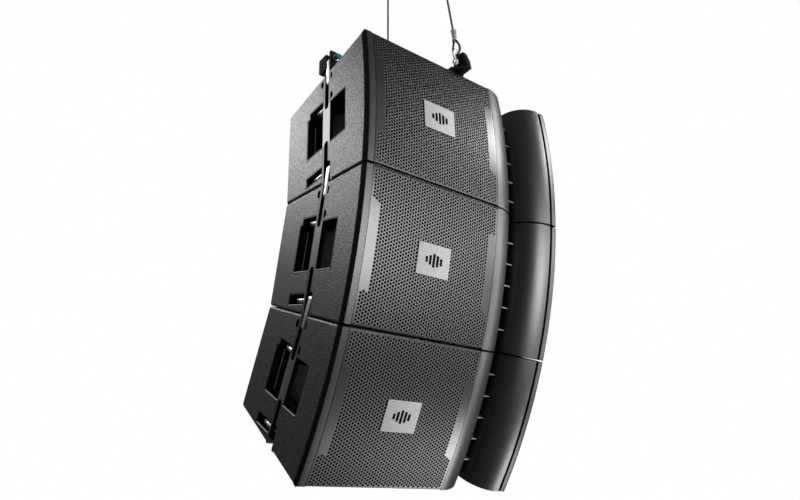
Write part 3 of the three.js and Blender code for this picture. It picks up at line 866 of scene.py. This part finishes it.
def grille_mesh():
    """The perforated sheet: six-sided cells in upright columns with a round hole each, and rolled edges."""
    columns = int((GRILLE_RIGHT - GRILLE_LEFT) / COLUMN_PITCH) - 1
    rows = int((2 * GRILLE_END - 1) / HOLE_PITCH) - 1
    middle = (GRILLE_LEFT + GRILLE_RIGHT) / 2
    corner = HOLE_PITCH / math.sqrt(3)
    verts, faces, index = [], [], {}

    def vert(x, s, depth=0.0):
        key = (round(x * 20), round(s * 20), round(depth * 20))
        if key not in index:
            index[key] = len(verts)
            verts.append(on_arc(x, depth, s))
        return index[key]

    chains = {"left": set(), "right": set(), "low": set(), "high": set()}

    def note(name, *points):
        chains[name].update((round(x, 3), round(s, 3)) for x, s in points)

    for column in range(columns):
        x = middle + (column - (columns - 1) / 2) * COLUMN_PITCH
        count = rows + column % 2
        for row in range(count):
            s = (row - (count - 1) / 2) * HOLE_PITCH
            ring = [(x + corner * math.cos(math.radians(a)), s + corner * math.sin(math.radians(a)))
                    for a in range(0, 360, 60)]
            hexagon = [vert(*p) for p in ring]
            if perforated(x, s):
                turns = [2 * math.pi * k / HOLE_SIDES for k in range(HOLE_SIDES)]
                hole = [vert(x + HOLE_RADIUS * math.cos(a), s + HOLE_RADIUS * math.sin(a)) for a in turns]
                for k in range(6):
                    far = (k + 1) % 6
                    faces.append((hexagon[k], hexagon[far], hole[2 * far], hole[2 * k + 1], hole[2 * k]))
            else:
                faces.append(tuple(hexagon))
            if column == 0:
                note("left", ring[2], ring[3], ring[4])
            if column == columns - 1:
                note("right", ring[1], ring[0], ring[5])
            if row == 0:
                note("low", ring[4], ring[5])
            if row == count - 1:
                note("high", ring[1], ring[2])
    chains["low"] |= {min(chains["left"], key=lambda p: p[1]), min(chains["right"], key=lambda p: p[1])}
    chains["high"] |= {max(chains["left"], key=lambda p: p[1]), max(chains["right"], key=lambda p: p[1])}
    roll = [(0.0, 0.0), (0.8, 0.05), (EDGE_ROLL, 0.2), (EDGE_ROLL, 9.0)]
    left, right = GRILLE_LEFT + EDGE_ROLL, GRILLE_RIGHT - EDGE_ROLL
    for name, edge, sign in (("left", left, -1), ("right", right, 1)):
        chain = sorted(chains[name], key=lambda p: p[1])
        for (xa, sa), (xb, sb) in zip(chain, chain[1:]):
            faces.append((vert(xa, sa), vert(xb, sb), vert(edge, sb), vert(edge, sa)))
            for (ra, da), (rb, db) in zip(roll, roll[1:]):
                faces.append((vert(edge + sign * ra, sa, da), vert(edge + sign * ra, sb, da),
                              vert(edge + sign * rb, sb, db), vert(edge + sign * rb, sa, db)))
    for name, sign in (("low", -1), ("high", 1)):
        chain = sorted(chains[name], key=lambda p: p[0])
        edge = sign * (GRILLE_END - EDGE_ROLL)
        ends = [(left, chain[0][1]), *chain, (right, chain[-1][1])]
        for (xa, sa), (xb, sb) in zip(ends, ends[1:]):
            faces.append((vert(xa, sa), vert(xb, sb), vert(xb, edge), vert(xa, edge)))
            for (ra, da), (rb, db) in zip(roll, roll[1:]):
                deep_a, deep_b = min(da * 1.5, 13.5), min(db * 1.5, 13.5)
                faces.append((vert(xa, edge + sign * ra, deep_a), vert(xb, edge + sign * ra, deep_a),
                              vert(xb, edge + sign * rb, deep_b), vert(xa, edge + sign * rb, deep_b)))
        for x, side, near in ((left, -1, ends[0][1]), (right, 1, ends[-1][1])):
            for (ra, da), (rb, db) in zip(roll, roll[1:]):
                faces.append((vert(x + side * ra, near, da), vert(x + side * ra, edge, da),
                              vert(x + side * rb, edge, db), vert(x + side * rb, near, db)))
    mesh = make_mesh("grille", verts, faces, 40)
    mesh.materials.append(GRILLE_PAINT)
    mesh.materials.append(GRILLE_WEB)
    for polygon in mesh.polygons:
        polygon.material_index = int(len(polygon.vertices) == 5)  # only the punched cells have five corners
    return mesh


def badge_mesh():
    """A plain plate with a row of level-meter bars."""
    face = plate("badge", [rounded(91.5, 72, 2.5)], 2.4, 0.6)
    face.materials.append(BADGE)
    parts = [(face, IN_PLACE)]
    heights = (13, 22, 31, 25, 16)
    for i, height in enumerate(heights):
        bar = plate("bar", [rounded(6.6, height, 1.2)], 1.2, 0.3)
        bar.materials.append(MATT_BLACK)
        parts.append((bar, Matrix.Translation(Vector(((i - 2) * 10.2, 0, 1.1)) * MM)))
    return join("badge", parts)


# Horn


def horn_mesh():
    parts = []

    def part(mesh, look):
        mesh.materials.append(look)
        parts.append((mesh, IN_PLACE))

    for _, side in SIDES:
        inner = flare(side) + [(HORN_X + side * HORN_SLOT_HALF, HORN_BACK)]
        outer = flare(side, HORN_WALL) + [(HORN_X + side * (HORN_SLOT_HALF + HORN_WALL), HORN_BACK)]
        mouth_x = HORN_X + side * HORN_HALF[side]
        lip = [(mouth_x + side * 0.5, 3.4), (mouth_x + side * 0.8, 1.2)]
        outline = lip + inner + outer[::-1]
        part(arc_sweep("flare", outline, -HALF_ARC + 1.5, HALF_ARC - 1.5, 24, 50), HORN_PLASTIC)
    narrow, wide = HORN_SLOT_HALF + 1.5, 15.5
    for i in range(VANE_COUNT):
        s = ((i + 1) / (VANE_COUNT + 1) - 0.5) * 2 * HALF_ARC
        nose = [(HORN_X - wide, VANE_FRONT), (HORN_X + wide, VANE_FRONT),
                (HORN_X + narrow, HORN_THROAT_DEPTH), (HORN_X + narrow, HORN_BACK - 1),
                (HORN_X - narrow, HORN_BACK - 1), (HORN_X - narrow, HORN_THROAT_DEPTH)]
        # painted light: the black fins take a grey metal look so that their front edges read as lit grey
        part(arc_sweep("vane", nose, s - 1.4, s + 1.4, 1), CAST_METAL_AND_LIT_GREY)
    return join("horn", parts)


# Rigging hardware on the sides


def rail_mesh(side_name):
    """The CAD rail's own shape in the cabinet's frame, with doubled points and flat faces merged."""
    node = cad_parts[f"top_rail_{side_name}"]
    mesh = node.data.copy()
    mesh.transform(cabinet_place(0).inverted() @ node.matrix_world)
    mesh.materials.clear()
    work = bmesh.new()
    work.from_mesh(mesh)
    bmesh.ops.remove_doubles(work, verts=work.verts, dist=2e-5)
    bmesh.ops.dissolve_limit(work, angle_limit=math.radians(1), verts=work.verts, edges=work.edges)
    work.to_mesh(mesh)
    work.free()
    return mesh


def lip_mesh(side):
    """Rolled lower lips of the hand cup and finger slot, and the cup's upright seam."""
    x = side * (RAIL_FACE - 0.6)
    cup, slot = HANDLE["bottom"] - 0.6, LOCK_HEIGHT - 12
    parts = []
    for front, back, height in ((HANDLE["front"] + 1, RAIL_FRONT - 1, cup),
                                (RAIL_REAR + 1, HANDLE["rear"] - 1, cup),
                                (RAIL_REAR + 2, FINGER_SLOT["rear"] - 2, slot)):
        path = [Vector((x, d, height)) for d in steps(front, back, 6)]
        parts.append((tube("lip", path, [1.4] * 12), IN_PLACE))
    seam = [Vector((side * 277, HANDLE["rear"] - 0.6, h)) for h in steps(-47, 50, 6)]
    parts.append((tube("seam", seam, [0.7] * 10), IN_PLACE))
    return join("lips", parts)


def link_bar_mesh():
    """Round-ended bar about its hinge hole, standing along local Y."""
    outline = circle(0, BAR_PITCH, BAR_END_RADIUS, 20, 0, 180) + circle(0, 0, BAR_END_RADIUS, 20, 180, 360)
    holes = [circle(0, 0, PIN_RADIUS + 0.5), circle(0, BAR_PITCH, PIN_RADIUS + 2.7)]
    return plate("link_bar", [outline, *holes], BAR_THICKNESS, 1.2, 3)


def pin_mesh(length, grip):
    """Quick-release pin pointing along local Z from its tip: shank, collar, slim grip and push button."""
    shank = lathe("shank", [
        (0, 0), (2.6, 0), (PIN_RADIUS - 0.4, 1.2), (PIN_RADIUS - 0.4, length - 0.2), (PIN_RADIUS, length),
        (0, length)])
    shank.materials.append(STEEL)
    neck = length + grip - 9
    collar = lathe("collar", [
        (0, length), (7.4, length), (8, length + 0.7), (8, length + 4.6), (7.4, length + 5.4),
        (5.4, length + 6), (5.4, length + 7), (6.4, length + 8.2), (6.4, neck), (0, neck)])
    collar.materials.append(STEEL)
    end = length + grip
    button = lathe("button", [
        (0, end - 9.4), (6.6, end - 9.4), (7, end - 8.8), (7, end - 6), (6.2, end - 5.4), (6.2, end - 4.6),
        (7, end - 4), (7, end - 1.4), (6, end - 0.2), (0, end)])
    button.materials.append(BUTTON)
    return join("pin", [(mesh, IN_PLACE) for mesh in (shank, collar, button)])


def screw_mesh(radius):
    """Countersunk socket screw, its face at z = 0 and its shank below."""
    return lathe("screw", [
        (0, -1.3), (radius * 0.42, -1.3), (radius * 0.5, -0.1), (radius * 0.55, 0), (radius * 0.93, 0),
        (radius, -0.3), (radius, -1.0), (radius * 0.55, -3), (0, -3)], 24)


# Input panel


def panel_mesh():
    """Steel plate with two twist-lock connectors, a selector dish and screws; its face is at z = 0."""
    parts = []

    def put(mesh, look, x, y, z):
        mesh.materials.append(look)
        parts.append((mesh, Matrix.Translation(Vector((x, y, z)) * MM)))

    openings = [circle(-CONNECTOR_X, 0, 14.5), circle(CONNECTOR_X, 0, 14.5), circle(0, 0, 16)]
    put(plate("plate", [rounded(*INPUT_PLATE, 4), *openings], 2.4, 0.5), PANEL_COAT, 0, 0, -1.5)
    barrel = [(0, -19), (11.8, -19), (11.8, -2), (13, -2), (13, -21), (0, -21)]
    core = [(0, -18.8), (7, -18.8), (7.4, -4.4), (6.8, -3.8), (5.2, -3.8), (5, -9), (0, -9)]
    for x in (-CONNECTOR_X, CONNECTOR_X):
        put(plate("flange", [rounded(34, 40, 5), circle(0, 0, 12)], 2.2, 0.6), KNOB, x, 0, 0.3 - 1.1)
        put(lathe("barrel", barrel, 40), KNOB, x, 0, 0)
        put(lathe("core", core), KNOB, x, 0, 0)
        for sx, sy in ((-13, 16), (13, -16)):
            put(screw_mesh(3), STEEL, x + sx, sy, 0.35)
    put(lathe("dish", [(0, -13.6), (15.9, -13.6), (15.9, -0.6), (17.4, -0.6), (17.4, -0.2), (15.2, 0),
                       (14.9, -12.6), (0, -12.6)], 40), KNOB, 0, 0, 0)
    for x in (-68, 68):
        for y in (-38, 0, 38):
            put(screw_mesh(4), STEEL, x, y, -0.25)
    return join("input_panel", parts)


def selector_mesh():
    knob = lathe("knob", [(0, -12.5), (10.6, -12.5), (11, -12), (11, -7), (9.6, -5.5), (0, -5.2)], 40)
    bar = plate("grip", [rounded(4.4, 22, 2)], 7, 0.8)
    bar.materials.append(KNOB)
    knob.materials.append(KNOB)
    mark = plate("mark", [rounded(1.4, 7, 0.6)], 0.6, 0.15)
    mark.materials.append(BADGE)
    return join("selector", [(knob, IN_PLACE), (bar, Matrix.Translation((0, 0, -5.6 * MM))),
                             (mark, Matrix.Translation(Vector((0, 6.5, -2.0)) * MM))])


# Build the three cabinets

BOX = box_mesh()
TRIMS = trims()
GRILLE = grille_mesh()
FOAM_SHEET = arc_sweep("foam", [(GRILLE_LEFT + 3, 3.2), (GRILLE_RIGHT - 3, 3.2), (GRILLE_RIGHT - 3, 7),
                                (GRILLE_LEFT + 3, 7)], -HALF_ARC + 4, HALF_ARC - 4)
BADGE_PLATE = badge_mesh()
HORN = horn_mesh()
RAILS = {side_name: rail_mesh(side_name) for side_name, _ in SIDES}
LIPS = {side_name: lip_mesh(side) for side_name, side in SIDES}
LINK_BAR = link_bar_mesh()
STORAGE_PIN = pin_mesh(PIN_SEAT - STORAGE_TIP, STORAGE_GRIP)
LOCK_PIN = pin_mesh(PIN_SEAT - LOCK_TIP, LOCK_GRIP)
FRAME_PIN = pin_mesh(FRAME_PIN_TIP - FRAME_PIN_SEAT, FRAME_GRIP)
INPUT_PANEL = panel_mesh()
SELECTOR = selector_mesh()

for index, cabinet in enumerate(CABINETS):
    at = cabinet_place(index)

    def put(part, mesh, look, slot, local=IN_PLACE, body=ROOT, stands_for=()):
        """Adds a piece of this cabinet, placed in the cabinet's own frame."""
        return add(f"{cabinet}_{part}", mesh, look, body, at @ local, stands_for)

    box = put("box", BOX, PAINT, "cabinet_paint", stands_for=[f"{cabinet}_enclosure"])
    weigh(box)
    for side_name, _ in SIDES:
        put(f"trim_{side_name}", TRIMS["trim", side_name], TRIM_PAINT, "cabinet_paint")
        # black band on the front corner: painted shade on the box's rounded edge
        put(f"gasket_{side_name}", TRIMS["gasket", side_name], MATT_BLACK, "horn_plastic")
    sheet = put("grille_sheet", GRILLE, GRILLE_PAINT, "grille_paint", stands_for=[f"{cabinet}_grille"])
    thick = sheet.modifiers.new("thickness", "SOLIDIFY")
    thick.thickness = SHEET_METAL * MM
    thick.offset = -1
    put("grille_foam", FOAM_SHEET, FOAM, "grille_paint")
    put("badge", BADGE_PLATE, BADGE, "badge", aim(BADGE_X, -0.4, 0, TO_FRONT))
    put("horn", HORN, HORN_PLASTIC, "horn_plastic", stands_for=[f"{cabinet}_waveguide"])
    paint_node(f"{cabinet}_hf_driver_bank", DRIVER_CASE)
    paint_node(f"{cabinet}_woofer_frame", CAST_METAL_AND_LIT_GREY)
    paint_node(f"{cabinet}_woofer_cone", PULP)
    panel_at = aim(0, CABINET_DEPTH - 0.5, 0, TO_REAR)
    put("input_plate", INPUT_PANEL, PANEL_COAT, "panel_paint", panel_at,
        stands_for=[f"{cabinet}_input_panel"])
    put("selector_knob", SELECTOR, KNOB, "knob_plastic", panel_at, f"{cabinet}_selector",
        [f"{cabinet}_selector"])
    for side_name, side in SIDES:
        rail = put(f"rail_{side_name}_channel", RAILS[side_name], RAIL_STEEL, "rail_paint",
                   stands_for=[f"{cabinet}_rail_{side_name}"])
        soften(rail, 0.6)
        put(f"cup_lips_{side_name}", LIPS[side_name], PAINT, "cabinet_paint")
        bar_name = f"{cabinet}_link_bar_{side_name}"
        bar_at = aim(side * BAR_X, BAR_DEPTH, HINGE_HEIGHT, TO_FRONT)
        put(f"bar_{side_name}", LINK_BAR, STEEL, "bare_steel", bar_at, bar_name, [bar_name])
        for kind, mesh, height, tip in (("storage", STORAGE_PIN, STOW_HEIGHT, STORAGE_TIP),
                                        ("lock", LOCK_PIN, LOCK_HEIGHT, LOCK_TIP)):
            pin_name = f"{cabinet}_{kind}_pin_{side_name}"
            pin_at = aim(side * BAR_X, tip, height, TO_REAR)
            put(f"{kind}_button_{side_name}", mesh, STEEL, "pin_button", pin_at, pin_name, [pin_name])

# Rigging above the top cabinet

TOP = cabinet_place(0)


def on_rope(pick, height, x=0.0, across=0.0):
    """A point on a rope's leaning line, or off it by x and across."""
    return Vector((x, pick["depth"] + pick["lean"] * (height - PICK_HEIGHT) + across, height))


def shackle_mesh(pick):
    half = 12
    leg = [(-3, half), (12, half), (28, half + 2), (SHACKLE_BOW - 6, half - 3)]
    bow = [(h, -x) for h, x in leg] + [(SHACKLE_BOW, 0)] + leg[::-1]
    path = [on_rope(pick, PICK_HEIGHT + h, x) for h, x in bow]
    parts = [(tube("bow", smooth_path(path, 8), [3.5] * 16), IN_PLACE)]
    for side in (-1, 1):
        eye = plate("eye", [circle(0, 0, 8.4)], 6.5, 1.4, 3)
        parts.append((eye, aim(side * half, pick["depth"], PICK_HEIGHT, ACROSS)))
    pin = lathe("pin", [
        (0, -half - 8), (4.5, -half - 8), (4.5, half + 3.4), (8.4, half + 3.4), (9, half + 4.2),
        (9, half + 7.6), (8.2, half + 8.6), (0, half + 8.6)])
    parts.append((pin, aim(0, pick["depth"], PICK_HEIGHT, ACROSS)))
    return join("shackle", parts)


def eye_mesh(pick, foot, top, direction):
    """A wire loop round a steel thimble, closed by a pressed ferrule."""
    centre = foot if direction > 0 else top

    def along(distance, y):
        return on_rope(pick, centre - direction * distance, 0, y)

    def round_trip(half, per_span):
        """A loop's path from the (distance, half width) points of one half, which ends on the middle line."""
        points = [along(d, -y) for d, y in half] + [along(d, y) for d, y in half[-2::-1]]
        return smooth_path(points, per_span)

    wire_path = round_trip([(-4, 3.4), (6, 6), (20, 11), (34, 12.5), (44, 7.5), (47.5, 0)], 10)
    wire_loop = tube("loop", wire_path, strands(3.6), STRAND_TWIST, 60)
    wire_loop.materials.append(WIRE)
    thimble_path = round_trip([(8, 2.8), (20, 7.9), (33, 9.6), (42, 5.6), (44.6, 0)], 8)
    thimble = tube("thimble", thimble_path, [1.6] * 10)
    thimble.materials.append(ZINC)
    length = top - foot
    ferrule = lathe("ferrule", [
        (0, 0), (6.8, 0), (8.1, 1.2), (8.5, 3), (8.5, length - 3), (8.1, length - 1.2), (6.8, length),
        (0, length)])
    ferrule.materials.append(ZINC)
    lean = Vector((0, pick["lean"], 1))
    base = on_rope(pick, foot)
    ferrule_at = aim(base.x, base.y, base.z, lean)
    return join("rope_eye", [(wire_loop, IN_PLACE), (thimble, IN_PLACE), (ferrule, ferrule_at)])


for end, pick in (("front", FRONT_PICK), ("rear", REAR_PICK)):
    swing = f"shackle_{end}"
    add(f"{end}_shackle", shackle_mesh(pick), ZINC, swing, TOP, [swing])
    upper_end = pick["rope_top"] + FERRULE_TOP - FERRULE_BOTTOM
    for part, foot, top, direction in (("lower", FERRULE_BOTTOM, FERRULE_TOP, 1),
                                       ("upper", pick["rope_top"], upper_end, -1)):
        node = f"rope_{end}_{part}_eye"
        mesh = eye_mesh(pick, foot, top, direction)
        add(f"{end}_{part}_eye", mesh, WIRE, ROOT, TOP, [node])
    bottom, top = FERRULE_TOP + FIT, pick["rope_top"] - FIT
    heights = steps(bottom, top, int((top - bottom) / 2.5))
    path = [on_rope(pick, h) for h in heights]
    mesh = tube(f"{end}_rope", path, strands(ROPE_RADIUS), STRAND_TWIST, 60)
    line = add(f"{end}_rope", mesh, WIRE, ROOT, TOP, [f"rope_{end}"])

rigging_frame = paint_node("array_frame", FRAME_COAT)
soften(rigging_frame, 1.2)
for side_name, side in SIDES:
    add(f"frame_button_{side_name}", FRAME_PIN, STEEL, f"frame_pin_{side_name}",
        TOP @ aim(side * BAR_X, FRAME_PIN_TIP, FRAME_PIN_HEIGHT, TO_FRONT), [f"frame_pin_{side_name}"])

# Stage and light


def soft_light(name, place, target, width, height, watts):
    data = bpy.data.lights.new(name, "AREA")
    data.shape = "RECTANGLE"
    data.size, data.size_y = width, height
    data.energy = watts
    light = bpy.data.objects.new(name, data)
    light.location = place
    light.rotation_mode = "QUATERNION"
    light.rotation_quaternion = (Vector(target) - Vector(place)).to_track_quat("-Z", "Y")
    light.visible_camera = False
    link(light)


def make_world():
    """White behind the object, a dim even light on it."""
    world = bpy.data.worlds.new("studio")
    bpy.context.scene.world = world
    world.use_nodes = True
    nodes, links = world.node_tree.nodes, world.node_tree.links
    seen, dim = nodes["Background"], nodes.new("ShaderNodeBackground")
    for background, strength in ((seen, 1.0), (dim, 0.14)):
        background.inputs["Color"].default_value = (1, 1, 1, 1)
        background.inputs["Strength"].default_value = strength
    ray, pick = nodes.new("ShaderNodeLightPath"), nodes.new("ShaderNodeMixShader")
    links.new(ray.outputs["Is Camera Ray"], pick.inputs[0])
    links.new(dim.outputs[0], pick.inputs[1])
    links.new(seen.outputs[0], pick.inputs[2])
    links.new(pick.outputs[0], nodes["World Output"].inputs[0])


make_world()
soft_light("rear_left", (-1.3, 2.6, 1.75), (-0.3, 0, -0.35), 0.8, 0.8, 50)
soft_light("front", (0.95, -3.2, -0.65), (0.1, -0.3, -0.5), 1.9, 1.6, 150)
soft_light("high_right", (2.2, -1.8, 1.38), (0.1, -0.3, -0.2), 0.9, 0.6, 55)
soft_light("low_right", (1.72, -1.08, -2.68), (0.1, -0.2, -0.9), 0.5, 1.0, 40)
soft_light("right_strip", (2.72, -1.72, -0.65), (0.2, -0.3, -0.5), 0.3, 2.6, 46)
soft_light("right_mid", (2.3, -2.3, 0.05), (0.28, 0, -0.35), 0.5, 0.7, 16)
soft_light("overhead", (0, 0.4, 2.6), (0, 0, -0.3), 1.8, 1.8, 18)
soft_light("rear_fill", (1.8, 2.6, 0.6), (0, 0.1, -0.5), 1.5, 1.5, 60)

bpy.context.scene.view_settings.view_transform = "Standard"
